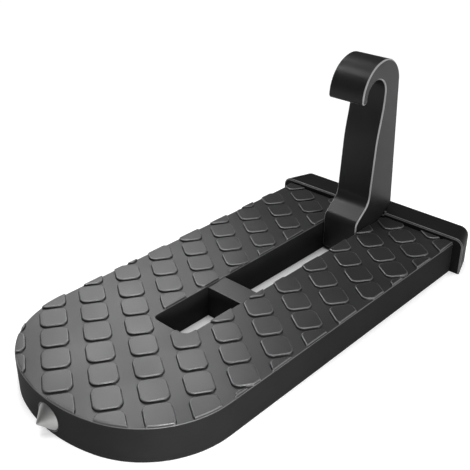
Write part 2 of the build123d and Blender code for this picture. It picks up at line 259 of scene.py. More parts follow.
@dataclass(frozen=True)
class Coat:
    """A matt or satin coat, or a rubber or plastic skin, over a whole piece.

    Args:
        name: The material's name.
        colour: The coat's colour.
        roughness: The coat's mean roughness.
        grain_mm: The size of its finest grain.
        grain_depth_mm: How deep that grain is.
        gloss: The strength of the shader's specular reflection.
        mottle: How far the colour wanders, as a share.
        ripple_mm: The size of the slow ripple of a sprayed or cast surface.
        ripple_depth_mm: How deep the ripple is.
        cloud_mm: The size of the clouds in which the colour wanders.
        cloud_contrast: How clearly the clouds part.
        cloud_roughness: How far the roughness wanders with the clouds.
        grain_roughness: How far it wanders with the grain.
    """

    name: str
    colour: Colour
    roughness: float
    grain_mm: float
    grain_depth_mm: float
    gloss: float = 0.5
    mottle: float = 0.12
    ripple_mm: float = 6.0
    ripple_depth_mm: float = 0.01
    cloud_mm: float = 18.0
    cloud_contrast: float = 2.4
    cloud_roughness: float = 0.16
    grain_roughness: float = 0.12

    def material(self) -> Finish:
        """Builds the material.

        Returns:
            The material.
        """
        made, board = new_material(self.name)
        where = board.node("ShaderNodeTexCoord", out="Object")
        grain = board.noise(where, self.grain_mm, detail=3.0)
        ripple = board.noise(where, self.ripple_mm, detail=2.0)
        cloud = board.noise(where, self.cloud_mm, detail=4.0)
        dark = tuple(c * (1 - self.mottle) for c in self.colour)
        light = tuple(c * (1 + self.mottle) for c in self.colour)
        colour = board.mix_colour(cloud.spread(self.cloud_contrast), dark, light)
        wander = (cloud - 0.5) * self.cloud_roughness + (grain - 0.5) * self.grain_roughness
        height = grain * self.grain_depth_mm + ripple * self.ripple_depth_mm
        finish_with(board, colour, wander + self.roughness, height, metallic=0.0, gloss=self.gloss)
        return made


@dataclass(frozen=True)
class Metal:
    """Bare or plated metal with fine machining marks.

    Args:
        name: The material's name.
        colour: The metal's colour.
        roughness: The mean roughness.
        mark_mm: The spacing of the machining marks.
        mark_depth_mm: How deep they are.
        along: How much the marks are squeezed along each axis.
        cloud_mm: The size of the clouds in which the colour wanders.
        cloud_contrast: How clearly the clouds part.
        dark_share: The darkest colour, as a share of the colour.
        cloud_roughness: How far the roughness wanders with the clouds.
        mark_roughness: How far it wanders with the marks.
        gloss: The specular level.
    """

    name: str
    colour: Colour
    roughness: float
    mark_mm: float
    mark_depth_mm: float
    along: Triple = (1.0, 1.0, 1.0)
    cloud_mm: float = 3.0
    cloud_contrast: float = 2.0
    dark_share: float = 0.8
    cloud_roughness: float = 0.15
    mark_roughness: float = 0.2
    gloss: float = 0.5

    def material(self) -> Finish:
        """Builds the material.

        Returns:
            The material.
        """
        made, board = new_material(self.name)
        where = board.node("ShaderNodeTexCoord", out="Object")
        marks = board.noise(where, self.mark_mm, detail=2.0, stretch=self.along)
        cloud = board.noise(where, self.cloud_mm, detail=3.0)
        dark = tuple(c * self.dark_share for c in self.colour)
        colour = board.mix_colour(cloud.spread(self.cloud_contrast), dark, self.colour)
        wander = (marks - 0.5) * self.mark_roughness + (cloud - 0.5) * self.cloud_roughness
        height = marks * self.mark_depth_mm
        finish_with(board, colour, wander + self.roughness, height, metallic=1.0, gloss=self.gloss)
        return made


def new_material(name: str) -> tuple[Finish, Board]:
    """An empty node material.

    Args:
        name: The material's name.

    Returns:
        The material and its board.
    """
    made = bpy.data.materials.new(name)
    made.use_nodes = True
    made.node_tree.nodes.clear()
    return made, Board(made.node_tree)


def finish_with(
    board: Board, colour: Plug, roughness: Plug, height: Plug, metallic: float, gloss: float
) -> None:
    """Ends a material with its bump, shader and output.

    Args:
        board: The material's board.
        colour: The base colour.
        roughness: The roughness.
        height: The height of the surface's relief, in millimetres.
        metallic: 1 for bare metal.
        gloss: The specular level.
    """
    bump = board.node("ShaderNodeBump", {}, {"Strength": 1.0, "Distance": MM, "Height": height})
    values = {
        "Base Color": colour,
        "Roughness": roughness,
        "Metallic": metallic,
        "Normal": bump,
        "Specular IOR Level": gloss,
    }
    shader = board.node("ShaderNodeBsdfPrincipled", {}, values)
    board.node("ShaderNodeOutputMaterial", {}, {"Surface": shader})


class Finishes:
    """Every finish of the step, built once."""

    def __init__(self) -> None:
        """Builds the materials."""
        self.cast = Coat("cast_satin", (0.014, 0.014, 0.0143), 0.42, 0.35, 0.012, gloss=0.42).material()
        # A copy of the cast coat with almost no gloss for the side walls, which keeps them dark: painted
        # shade.
        self.cast_side_shaded = Coat("cast_side_shaded", (0.015, 0.015, 0.0152), 0.6, 0.35, 0.012, gloss=0.02).material()
        # A lighter coat for the rounded edges of the casting: a painted highlight.
        self.cast_edge_highlight = Coat("cast_edge_highlight", (0.09, 0.09, 0.092), 0.34, 0.35, 0.006, gloss=0.5).material()
        self.tread = Coat("tread_satin", (0.015, 0.015, 0.0153), 0.4, 0.4, 0.014, gloss=0.46).material()
        # A lighter coat for the rounded edges of the tread blocks: a painted highlight.
        self.tread_edge_highlight = Coat("tread_edge_highlight", (0.09, 0.09, 0.092), 0.28, 0.35, 0.006, gloss=0.7).material()
        self.hook = Coat("hook_satin", (0.013, 0.013, 0.0133), 0.38, 0.25, 0.006, gloss=0.2).material()
        # A much lighter coat for the hook's edge faces: a painted highlight.
        self.hook_edge_highlight = Coat("hook_edge_highlight", (0.32, 0.32, 0.325), 0.3, 0.25, 0.004, gloss=0.5).material()
        self.rubber = Coat("rubber_matt", (0.012, 0.012, 0.012), 0.6, 0.3, 0.01, gloss=0.06).material()
        # A lighter coat for the rubber's rounded edges: a painted highlight.
        self.rubber_edge_highlight = Coat("rubber_edge_highlight", (0.12, 0.12, 0.12), 0.42, 0.3, 0.006, gloss=0.4).material()
        self.zinc = Metal("zinc_plate", (0.56, 0.56, 0.57), 0.34, 0.25, 0.004).material()
        marks_along = (1.0, 0.15, 0.15)
        self.tip = Metal("tip_turned", (0.34, 0.34, 0.335), 0.48, 0.12, 0.014, marks_along).material()
        self.nylon = Coat("washer_nylon", (0.72, 0.7, 0.64), 0.45, 0.5, 0.004, mottle=0.03).material()


def link(name: str, mesh: bpy.types.Mesh) -> Piece:
    """Puts a mesh into the scene as an object at the origin.

    Args:
        name: The object's name.
        mesh: Its mesh.

    Returns:
        The object.
    """
    made = bpy.data.objects.new(name, mesh)
    bpy.context.scene.collection.objects.link(made)
    return made


def baked(piece: Piece) -> Piece:
    """Turns a piece's modifiers into plain mesh.

    Args:
        piece: The piece.

    Returns:
        The same piece, with no modifier left.
    """
    bpy.context.view_layer.update()
    seen = piece.evaluated_get(bpy.context.evaluated_depsgraph_get())
    mesh = bpy.data.meshes.new_from_object(seen)
    mesh.name = piece.name
    piece.modifiers.clear()
    piece.data = mesh
    return piece


def soften(piece: Piece, width_mm: float, segments: int = 2, highlight_edge_slot: int = -1) -> Piece:
    """Rounds a piece's sharp outer edges and smooths its curved faces.

    Args:
        piece: The piece.
        width_mm: The width of the rounded edges.
        segments: The steps round each edge.
        highlight_edge_slot: The material slot of the rounded edges, whose lighter coat is a painted
            highlight, or -1 for that of their neighbours.

    Returns:
        The piece, as plain mesh.
    """
    weigh_convex(piece.data)
    bevel = piece.modifiers.new("edges", "BEVEL")
    bevel.width = width_mm * MM
    bevel.segments = segments
    bevel.limit_method = "WEIGHT"
    bevel.use_clamp_overlap = False
    bevel.material = highlight_edge_slot
    smooth_curves(baked(piece), CREASE)
    weighted = piece.modifiers.new("normals", "WEIGHTED_NORMAL")
    weighted.keep_sharp = True
    return baked(piece)


def weigh_convex(mesh: bpy.types.Mesh) -> None:
    """Marks a mesh's sharp outer edges as those to be rounded, and leaves its inner corners as they are.

    Args:
        mesh: The mesh.
    """
    shape = bmesh.new()
    shape.from_mesh(mesh)
    weight = shape.edges.layers.float.new("bevel_weight_edge")
    for edge in shape.edges:
        edge[weight] = float(edge.is_manifold and edge.calc_face_angle_signed() > SHARP)
    shape.to_mesh(mesh)
    shape.free()


def smooth_curves(piece: Piece, crease: float) -> Piece:
    """Cuts a piece's many-sided faces into triangles, smooths its curved faces and keeps its creases sharp.

    Args:
        piece: The piece.
        crease: The angle, in radians, from which an edge is a crease.

    Returns:
        The piece.
    """
    shape = bmesh.new()
    shape.from_mesh(piece.data)
    bmesh.ops.dissolve_degenerate(shape, dist=SPECK, edges=shape.edges)
    wide = [face for face in shape.faces if len(face.verts) > 4]
    bmesh.ops.triangulate(shape, faces=wide, quad_method="BEAUTY", ngon_method="EAR_CLIP")
    for face in shape.faces:
        face.smooth = True
    for edge in shape.edges:
        edge.smooth = edge.is_manifold and edge.calc_face_angle() < crease
    shape.to_mesh(piece.data)
    shape.free()
    return piece


def drop_slivers(piece: Piece, least_mm2: float, shortest_mm: float) -> None:
    """Removes the loose pieces whose level top is too small to be cast, and edges too short to be rounded.

    Args:
        piece: An object made of loose pieces.
        least_mm2: The smallest top that is kept.
        shortest_mm: The length below which an edge is closed up.
    """
    shape = bmesh.new()
    shape.from_mesh(piece.data)
    left = set(shape.verts)
    while left:
        island = {left.pop()}
        edge_of = list(island)
        while edge_of:
            for edge in edge_of.pop().link_edges:
                for vertex in edge.verts:
                    if vertex not in island:
                        island.add(vertex)
                        edge_of.append(vertex)
        left -= island
        tops = {f for v in island for f in v.link_faces if f.normal.z > FACING_UP}
        if sum(f.calc_area() for f in tops) < least_mm2 * MM**2:
            bmesh.ops.delete(shape, geom=list(island), context="VERTS")
    bmesh.ops.remove_doubles(shape, verts=shape.verts, dist=shortest_mm * MM)
    shape.to_mesh(piece.data)
    shape.free()


def node_copy(node: str, name: str) -> Piece:
    """A copy of a CAD node's mesh with its loose triangles joined and its flat faces made whole.

    Args:
        node: The CAD node.
        name: The copy's name.

    Returns:
        The copy.
    """
    shape = bmesh.new()
    shape.from_mesh(bpy.data.objects[node].data)
    join_flat(shape)
    return from_bmesh(name, shape)


def join_flat(shape: bmesh.types.BMesh) -> None:
    """Merges doubles and makes flat faces whole.

    Args:
        shape: The mesh being edited.
    """
    bmesh.ops.remove_doubles(shape, verts=shape.verts, dist=WELD)
    bmesh.ops.dissolve_limit(shape, angle_limit=FLAT, verts=shape.verts, edges=shape.edges)


def from_bmesh(name: str, shape: bmesh.types.BMesh) -> Piece:
    """An object from a bmesh, which is freed.

    Args:
        name: The object's name.
        shape: The bmesh.

    Returns:
        The object.
    """
    mesh = bpy.data.meshes.new(name)
    shape.to_mesh(mesh)
    shape.free()
    return link(name, mesh)


def dress(piece: Piece, *materials: Finish) -> Piece:
    """Gives a piece its material slots.

    Args:
        piece: The piece.
        materials: One material for each slot.

    Returns:
        The piece.
    """
    piece.data.materials.clear()
    for material in materials:
        piece.data.materials.append(material)
    if len(materials) == 1:
        mark_faces(piece, 0, lambda normal: True)
    return piece


def seat(piece: Piece, body: str, slot: str, *nodes: str) -> Piece:
    """Puts a finished piece on its body in place of its CAD nodes.

    Args:
        piece: The piece.
        body: The body that it rides on.
        slot: The record's material slot; not used.
        nodes: The CAD nodes that it stands for.

    Returns:
        The piece.
    """
    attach(piece, body)
    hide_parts(*nodes)
    LOG.info("%s: %d faces on %s for %s", piece.name, len(piece.data.polygons), body, ", ".join(nodes))
    return piece


def mark_faces(piece: Piece, slot: int, test: Callable[[Vector], bool]) -> None:
    """Moves the faces whose normal passes a test to another material slot.

    Args:
        piece: The piece.
        slot: The slot's number.
        test: Takes a face's normal.
    """
    for face in piece.data.polygons:
        if test(face.normal):
            face.material_index = slot


@dataclass
class Plate:
    """The cast plate and its tread. Sizes are in millimetres, distances ahead are from its back end."""

    finishes: Finishes
    length: float = 170.3
    width: float = 85.0
    deck_z: float = 13.2
    edge_cut: float = 0.22
    nose_radius: float = 58.2
    corner_radius: float = 35.4
    slot_width: float = 16.8
    slot_front: float = 119.2
    slot_corner: float = 2.5
    slot_overrun: float = 5.0
    tread_margin: float = 0.22
    least_top: float = 2.0
    rise: float = 0.85
    row_angle: float = 55.7
    row_pitch: float = 11.85
    column_angle: float = -32.6
    column_pitch: float = 14.25
    block_along: float = 10.9
    block_across: float = 9.9
    block_corner: float = 2.7
    block_corner_steps: int = 6
    block_top_share: float = 0.93
    block_sink: float = 0.5
    land_height: float = 4.0
    tread_round: float = 0.3
    tread_round_steps: int = 3
    closed_edge: float = 0.36
    centre_ahead: float = 132.5
    centre_side: float = 1.95
    grid_count: int = 31
    grid_border: float = 8.0
    bumper_depth: float = 12.6
    back_x: float = field(init=False)

    def __post_init__(self) -> None:
        """Works out where the plate's back end lies from the bumper's box."""
        bumper_low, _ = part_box("end_bumper")
        self.back_x = bumper_low.x / MM + self.bumper_depth

    def build(self) -> None:
        """Builds the casting and the tread."""
        self.casting()
        self.tread()

    def casting(self) -> Piece:
        """The plate without its tread blocks, with eased edges.

        Returns:
            The casting.
        """
        shape = bmesh.new()
        shape.from_mesh(bpy.data.objects["step_plate"].data)
        bmesh.ops.remove_doubles(shape, verts=shape.verts, dist=WELD)
        cut = {"plane_co": (0, 0, (self.deck_z - self.edge_cut) * MM), "plane_no": (0, 0, 1)}
        everything = shape.verts[:] + shape.edges[:] + shape.faces[:]
        bmesh.ops.bisect_plane(shape, geom=everything, clear_outer=True, dist=SPECK / 10, **cut)
        rims = [e for e in shape.edges if e.is_boundary]
        tops = {v for e in rims for v in e.verts}
        bmesh.ops.triangle_fill(shape, edges=rims, use_beauty=True, use_dissolve=False, normal=(0, 0, 1))
        for vertex in tops:
            vertex.co.z = self.deck_z * MM
        bmesh.ops.recalc_face_normals(shape, faces=shape.faces)
        join_flat(shape)
        piece = from_bmesh("plate_casting", shape)
        dress(piece, self.finishes.cast, self.finishes.cast_edge_highlight, self.finishes.cast_side_shaded)
        # The side walls take the glossless copy of the coat, which keeps them dark: painted shade.
        mark_faces(piece, SHADED_SIDE_SLOT, lambda normal: normal.z < FACING_UP)
        # The rounded edges take the lighter edge coat: a painted highlight.
        soften(piece, Edge.EASED.value, highlight_edge_slot=EDGE_HIGHLIGHT_SLOT)
        return seat(piece, PLATE_BODY, "cast_black", "step_plate")

    def outline(self, inset: float, steps: int = 24) -> list[Vector]:
        """The deck's outline, counter-clockwise from its far back corner.

        Args:
            inset: How far the outline is drawn in.
            steps: The steps round each arc.

        Returns:
            The outline's points on the deck's plane.
        """
        half = self.width / 2 - inset
        nose_x = self.length - self.nose_radius
        nose_r = self.nose_radius - inset
        corner_r = self.corner_radius - inset
        corner_y = half - corner_r
        gap = nose_r - corner_r
        corner_x = nose_x + math.sqrt(gap**2 - corner_y**2)
        meet = math.atan2(corner_y, corner_x - nose_x)
        points = [(inset, -half)]
        points += arc((corner_x, -corner_y), corner_r, -math.pi / 2, -meet, steps)
        points += arc((nose_x, 0), nose_r, -meet, meet, steps)[1:-1]
        points += arc((corner_x, corner_y), corner_r, meet, math.pi / 2, steps)
        points += [(inset, half)]
        return [Vector(((self.back_x + x) * MM, y * MM, self.deck_z * MM)) for x, y in points]

    def slot_outline(self, grow: float, steps: int = 6) -> list[Vector]:
        """The slot's outline, counter-clockwise.

        Args:
            grow: How far it is drawn out.
            steps: The steps round each front corner.

        Returns:
            The outline's points on the deck's plane.
        """
        half = self.slot_width / 2 + grow
        radius = self.slot_corner + grow
        front = self.slot_front + grow
        points = [(-self.slot_overrun, half), (-self.slot_overrun, -half)]
        points += arc((front - radius, -half + radius), radius, -math.pi / 2, 0, steps)
        points += arc((front - radius, half - radius), radius, 0, math.pi / 2, steps)
        return [Vector(((self.back_x + x) * MM, y * MM, self.deck_z * MM)) for x, y in points]

    def tread(self) -> Piece:
        """The tread blocks, laid out and cut to the deck by a node tree.

        Returns:
            The tread.
        """
        land = prism("tread_blocks", self.outline(self.tread_margin), self.land_height * MM)
        hole = prism("hole", self.slot_outline(self.tread_margin), 1.5 * self.land_height * MM)
        piece = combine(land, hole)
        values = {
            "Centre": ((self.back_x + self.centre_ahead) * MM, self.centre_side * MM, self.deck_z * MM),
            "Row Step": polar(self.row_pitch, self.row_angle),
            "Column Step": polar(self.column_pitch, self.column_angle),
            "Block Along": self.block_along * MM,
            "Block Across": self.block_across * MM,
            "Block Corner": self.block_corner * MM,
            "Rise": self.rise * MM,
            "Turn": math.radians((self.row_angle + self.column_angle + 90) / 2),
            "Finish": self.finishes.tread,
        }
        run_tree(piece, self.tread_tree(), values)
        drop_slivers(piece, self.least_top, self.closed_edge)
        # The rounded edges take the lighter edge coat: a painted highlight.
        dress(piece, self.finishes.tread, self.finishes.tread_edge_highlight)
        soften(piece, self.tread_round, self.tread_round_steps, EDGE_HIGHLIGHT_SLOT)
        for vertex in piece.data.vertices:
            vertex.co.z = min(vertex.co.z, (self.deck_z + self.rise) * MM)
        return seat(piece, PLATE_BODY, "cast_black", "step_plate")

    def tread_tree(self) -> Tree:
        """The node tree that lays blocks on a slanting grid and keeps what lies inside the input's prism.

        Returns:
            The tree.
        """
        sizes = ("Block Along", "Block Across", "Block Corner", "Rise", "Turn")
        inputs = {name: "NodeSocketVector" for name in ("Centre", "Row Step", "Column Step")}
        inputs |= {name: "NodeSocketFloat" for name in sizes} | {"Finish": "NodeSocketMaterial"}
        tree, board, given = new_geometry_tree("tread", inputs)
        block = self.block(board, given)
        spots = self.block_spots(board, given)
        blocks = board.node("GeometryNodeInstanceOnPoints", {}, {"Points": spots, "Instance": block})
        real = board.node("GeometryNodeRealizeInstances", {}, {0: blocks})
        inside = {"operation": "INTERSECT", "solver": "EXACT"}
        kept = board.node("GeometryNodeMeshBoolean", inside, {"Mesh 2": [real, given["Geometry"]]})
        end_tree(board, kept, given["Finish"])
        return tree

    def block_spots(self, board: Board, given: dict[str, Wire]) -> Wire:
        """The spots of the slanting grid that lie on the deck or near it.

        Args:
            board: The tread tree's board.
            given: The tree's inputs.

        Returns:
            The spots.
        """
        side = self.grid_count - 1
        counts = {"Vertices X": self.grid_count, "Vertices Y": self.grid_count}
        grid = board.node("GeometryNodeMeshGrid", {}, {"Size X": side, "Size Y": side, **counts})
        row = board.node("ShaderNodeSeparateXYZ", {}, {0: board.node("GeometryNodeInputPosition")})
        column = row.beside("Y")
        scale, add = {"operation": "SCALE"}, {"operation": "ADD"}
        rows = board.node("ShaderNodeVectorMath", scale, {0: given["Row Step"], "Scale": row})
        columns = board.node("ShaderNodeVectorMath", scale, {0: given["Column Step"], "Scale": column})
        offset = board.node("ShaderNodeVectorMath", add, {0: rows, 1: columns})
        spot = board.node("ShaderNodeVectorMath", add, {0: offset, 1: given["Centre"]})
        laid = board.node("GeometryNodeSetPosition", {}, {"Geometry": grid, "Position": spot})
        past_end = row.absolute().maths("GREATER_THAN", (self.length / 2 + self.grid_border) * MM)
        past_side = column.absolute().maths("GREATER_THAN", (self.width / 2 + self.grid_border) * MM)
        outside = {"Geometry": laid, "Selection": (past_end + past_side).held()}
        return board.node("GeometryNodeDeleteGeometry", {"domain": "POINT"}, outside)

    def block(self, board: Board, given: dict[str, Wire]) -> Wire:
        """One tread block with rounded corners and leaning sides, turned to its place in the grid.

        Args:
            board: The tread tree's board.
            given: The tree's inputs.

        Returns:
            The block.
        """
        sides = {"Width": given["Block Along"], "Height": given["Block Across"]}
        sheet = board.node("GeometryNodeCurvePrimitiveQuadrilateral", {}, sides)
        corner = {"Curve": sheet, "Radius": given["Block Corner"], "Count": self.block_corner_steps}
        rounded = board.node("GeometryNodeFilletCurve", {"mode": "POLY"}, corner)
        foot = board.node("GeometryNodeFillCurve", {"mode": "NGONS"}, {"Curve": rounded})
        sink = self.block_sink * MM
        height = given["Rise"] + sink
        raised = board.node("GeometryNodeExtrudeMesh", {}, {"Mesh": foot, "Offset Scale": height})
        top = {"Geometry": raised, "Selection": raised.beside("Top"), "Scale": self.block_top_share}
        drawn_in = board.node("GeometryNodeScaleElements", {}, top)
        bottom = board.node("GeometryNodeFlipFaces", {}, {"Mesh": foot})
        both = board.node("GeometryNodeJoinGeometry", {}, {0: [drawn_in, bottom]})
        closed = board.node("GeometryNodeMergeByDistance", {}, {"Geometry": both, "Distance": SPECK})
        turn = board.node("ShaderNodeCombineXYZ", {}, {2: given["Turn"]})
        pose = {"Geometry": closed, "Translation": (0.0, 0.0, -sink), "Rotation": turn}
        return board.node("GeometryNodeTransform", {}, pose)


def polar(length_mm: float, degrees: float) -> Triple:
    """A step on the deck's plane from its length in millimetres and its angle, in metres."""
    turn = math.radians(degrees)
    return (length_mm * MM * math.cos(turn), length_mm * MM * math.sin(turn), 0.0)


def arc(centre: Pair, radius: float, start: float, end: float, steps: int) -> list[Pair]:
    """Points along an arc, both ends included.

    Args:
        centre: The arc's centre.
        radius: Its radius.
        start: Its first angle, in radians.
        end: Its last angle, in radians.
        steps: How many steps it has.

    Returns:
        The points.
    """
    angles = [start + (end - start) * i / steps for i in range(steps + 1)]
    return [(centre[0] + radius * math.cos(a), centre[1] + radius * math.sin(a)) for a in angles]


def prism(name: str, outline: list[Vector], height: float) -> Piece:
    """A closed upright prism about an outline.

    Args:
        name: The object's name.
        outline: The outline's points, which lie at the middle of its height.
        height: Its height, in metres.

    Returns:
        The prism.
    """
    shape = bmesh.new()
    rise = Vector((0, 0, height / 2))
    low = [shape.verts.new(p - rise) for p in outline]
    high = [shape.verts.new(p + rise) for p in outline]
    shape.faces.new(low[::-1])
    shape.faces.new(high)
    for i, vertex in enumerate(low):
        j = (i + 1) % len(low)
        shape.faces.new((vertex, low[j], high[j], high[i]))
    bmesh.ops.recalc_face_normals(shape, faces=shape.faces)
    return from_bmesh(name, shape)


def new_geometry_tree(name: str, inputs: dict[str, str]) -> tuple[Tree, Board, dict[str, Wire]]:
    """An empty geometry tree with named inputs.

    Args:
        name: The tree's name.
        inputs: The socket type of each input.

    Returns:
        The tree, its board and a wire for each input, the geometry among them.
    """
    tree = bpy.data.node_groups.new(name, "GeometryNodeTree")
    tree.interface.new_socket("Geometry", in_out="INPUT", socket_type="NodeSocketGeometry")
    for label, kind in inputs.items():
        tree.interface.new_socket(label, in_out="INPUT", socket_type=kind)
    tree.interface.new_socket("Geometry", in_out="OUTPUT", socket_type="NodeSocketGeometry")
    board = Board(tree)
    first = board.node("NodeGroupInput").socket.node
    return tree, board, {label: Wire(board, first.outputs[label]) for label in ("Geometry", *inputs)}


def end_tree(board: Board, geometry: Wire, finish: Wire) -> None:
    """Ends a geometry tree: its instances are made real and take their finish.

    Args:
        board: The tree's board.
        geometry: What the tree has made.
        finish: The material.
    """
    real = board.node("GeometryNodeRealizeInstances", {}, {0: geometry})
    painted = board.node("GeometryNodeSetMaterial", {}, {"Geometry": real, "Material": finish})
    board.node("NodeGroupOutput", {}, {0: painted})


def run_tree(piece: Piece, tree: Tree, values: dict[str, Plug]) -> Piece:
    """Runs a geometry tree on a piece and turns the result into plain mesh.

    Args:
        piece: The piece.
        tree: The tree.
        values: The value of each named input, which is set by its socket's identifier.

    Returns:
        The piece.
    """
    modifier = piece.modifiers.new(tree.name, "NODES")
    modifier.node_group = tree
    for item in tree.interface.items_tree:
        if item.item_type == "SOCKET" and item.in_out == "INPUT" and item.name in values:
            modifier[item.identifier] = values[item.name]
    return baked(piece)


@dataclass
class Hook:
    """The hook. Its edges, which take a lighter coat as a painted highlight, are the faces whose normals
    lean across it by between the two shares.
    """

    finishes: Finishes
    highlight_least_lean: float = 0.5
    highlight_most_lean: float = 0.9

    def build(self) -> None:
        """Builds the hook."""
        piece = node_copy("hook_arm", "hook_body")
        dress(piece, self.finishes.hook, self.finishes.hook_edge_highlight)
        soften(piece, Edge.CRISP.value)
        # The leaning edge faces take the lighter edge coat: a painted highlight.
        mark_faces(piece, EDGE_HIGHLIGHT_SLOT, lambda normal: self.highlight_least_lean < abs(normal.y) < self.highlight_most_lean)
        seat(piece, HOOK_BODY, "hook_black", "hook_arm")


@dataclass(frozen=True)
class Winding:
    """A thread's ridge, or a flat bar, wound upwards about the z axis. Sizes are in millimetres.

    Args:
        radius: The radius at a ridge's root or at a bar's middle.
        pitch: How far it climbs in one turn.
        start: The height at which it starts.
        climb: How far it climbs in all.
        depth: A ridge's height, or a bar's width.
        thickness: A bar's thickness, or 0 for a ridge.
        steps: The steps of one turn.
    """

    radius: float
    pitch: float
    start: float
    climb: float
    depth: float
    thickness: float = 0.0
    steps: int = 20

    def inputs(self) -> dict[str, Plug]:
        """The winding's inputs of the fastener tree, in metres.

        Returns:
            The value of each input.
        """
        sizes = (self.radius, self.pitch, self.start, self.climb, self.depth, self.thickness)
        lengths = {name: size * MM for name, size in zip(WINDING_SIZES, sizes)}
        return lengths | {"Steps": self.steps}


@dataclass(frozen=True)
class Screw:
    """A pan-headed screw with a hexagon socket, driven upwards. Sizes are in millimetres.

    The head's rounding is given as shares of its radius and height.
    """

    head_radius: float
    head_height: float
    shank_radius: float
    shank_length: float
    socket_radius: float
    socket_depth: float
    plain_length: float = 1.2
    run_in: float = 0.2
    thread_pitch: float = 0.5
    thread_depth: float = 0.26
    thread_end: float = 0.5
    end_cut: float = 0.35
    head_round: tuple[Pair, ...] = ((0.66, 0.0), (0.86, 0.1), (0.97, 0.34), (1.0, 0.6), (1.0, 1.0))
    steps: int = 40

    def body(self, name: str) -> Piece:
        """The screw without its thread, its head's outer face on the ground.

        Args:
            name: The object's name.

        Returns:
            The screw.
        """
        shank, core = self.shank_radius, self.shank_radius - self.thread_depth
        plain_end = self.head_height + self.plain_length
        top = self.head_height + self.shank_length
        profile = [(0, 0)]
        profile += [(self.head_radius * across, self.head_height * up) for across, up in self.head_round]
        profile += [(shank, self.head_height), (shank, plain_end), (core, plain_end + self.run_in)]
        profile += [(core, top - self.end_cut), (core - self.end_cut, top), (0, top)]
        socket = prism("socket", hexagon(self.socket_radius), 2 * self.socket_depth * MM)
        return combine(turned(name, profile, self.steps), socket)

    def place(self, name: str, node: str, finish: Finish) -> Piece:
        """Puts one screw at each of a CAD node's screws.

        Args:
            name: The piece's name.
            node: The CAD node, whose screws stand at a rectangle's corners or in a pair across the plate.
            finish: The screws' finish.

        Returns:
            The screws, in one piece.
        """
        start = self.head_height + self.plain_length + self.run_in
        climb = self.head_height + self.shank_length - self.thread_end - start
        core = self.shank_radius - self.thread_depth
        thread = Winding(core, self.thread_pitch, start, climb, self.thread_depth)
        return fastener(self.body(name), finish, thread, node, 2 * self.head_radius)


def fastener(
    piece: Piece,
    finish: Finish,
    winding: Winding | None = None,
    node: str = "",
    width: float = 0.0,
) -> Piece:
    """Finishes a fastener that stands on the ground: its winding, its places and its smooth sides.

    Args:
        piece: The fastener, which becomes all of them.
        finish: Its finish.
        winding: What is wound about it, or none.
        node: The CAD node that has one at each of its places, or none for one that stays where it is.
        width: The fastener's width, in millimetres.

    Returns:
        The fasteners, in one piece.
    """
    values = {"Finish": finish} | (winding.inputs() if winding else {})
    if node:
        low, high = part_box(node)
        centre = (low + high) / 2
        values["Centre"] = (centre.x, centre.y, low.z)
        values["Spacing X"] = max(0.0, high.x - low.x - width * MM)
        values["Spacing Y"] = max(0.0, high.y - low.y - width * MM)
    run_tree(piece, fastener_tree(), values)
    return smooth_curves(dress(piece, finish), SHARP)


def fastener_tree() -> Tree:
    """The node tree that gives a fastener its winding and puts it at the corners of a rectangle.

    A radius of 0 means no winding, and a spacing of 0 fewer places.

    Returns:
        The tree.
    """
    inputs = {"Centre": "NodeSocketVector", "Steps": "NodeSocketInt", "Finish": "NodeSocketMaterial"}
    inputs |= {name: "NodeSocketFloat" for name in ("Spacing X", "Spacing Y", *WINDING_SIZES)}
    tree, board, given = new_geometry_tree("fasteners", inputs)
    counts = {"Vertices X": 2, "Vertices Y": 2}
    rectangle = {"Size X": given["Spacing X"], "Size Y": given["Spacing Y"], **counts}
    grid = board.node("GeometryNodeMeshGrid", {}, rectangle)
    single = board.node("GeometryNodeMergeByDistance", {}, {"Geometry": grid, "Distance": SAME_PLACE})
    places = board.node("GeometryNodeTransform", {}, {"Geometry": single, "Translation": given["Centre"]})
    is_wound = {"Switch": given["Radius"].maths("GREATER_THAN", 0.0), "True": wound(board, given)}
    winding = board.node("GeometryNodeSwitch", {"input_type": "GEOMETRY"}, is_wound)
    whole = board.node("GeometryNodeJoinGeometry", {}, {0: [given["Geometry"], winding]})
    placed = board.node("GeometryNodeInstanceOnPoints", {}, {"Points": places, "Instance": whole})
    end_tree(board, placed, given["Finish"])
    return tree


def wound(board: Board, given: dict[str, Wire]) -> Wire:
    """A thread's ridge, or a flat bar where it has a thickness, wound upwards about the z axis.

    Args:
        board: The fastener tree's board.
        given: The tree's inputs.

    Returns:
        The winding.
    """
    radius, climb = given["Radius"], given["Climb"]
    sizes = {"Resolution": given["Steps"], "Rotations": climb / given["Pitch"], "Height": climb}
    path = board.node("GeometryNodeCurveSpiral", {}, sizes | {"Start Radius": radius, "End Radius": radius})
    upright = board.node("GeometryNodeSetCurveNormal", {"mode": "Z_UP"}, {"Curve": path})
    ridge = board.node("GeometryNodeCurvePrimitiveCircle", {}, {"Resolution": 4, "Radius": given["Depth"]})
    sides = {"Width": given["Depth"], "Height": given["Thickness"]}
    bar = board.node("GeometryNodeCurvePrimitiveQuadrilateral", {}, sides)
    is_bar = {"Switch": given["Thickness"].maths("GREATER_THAN", 0.0), "False": ridge, "True": bar}
    section = board.node("GeometryNodeSwitch", {"input_type": "GEOMETRY"}, is_bar)
    swept = {"Curve": upright, "Profile Curve": section, "Fill Caps": True}
    lift = board.node("ShaderNodeCombineXYZ", {}, {2: given["Start"]})
    pose = {"Geometry": board.node("GeometryNodeCurveToMesh", {}, swept), "Translation": lift}
    return board.node("GeometryNodeTransform", {}, pose)


def hexagon(corner_mm: float, height_mm: float = 0.0) -> list[Vector]:
    """A level hexagon's corners, from their distance to its middle and its height."""
    return [Vector(polar(corner_mm, 60 * i)) + Vector((0, 0, height_mm * MM)) for i in range(6)]


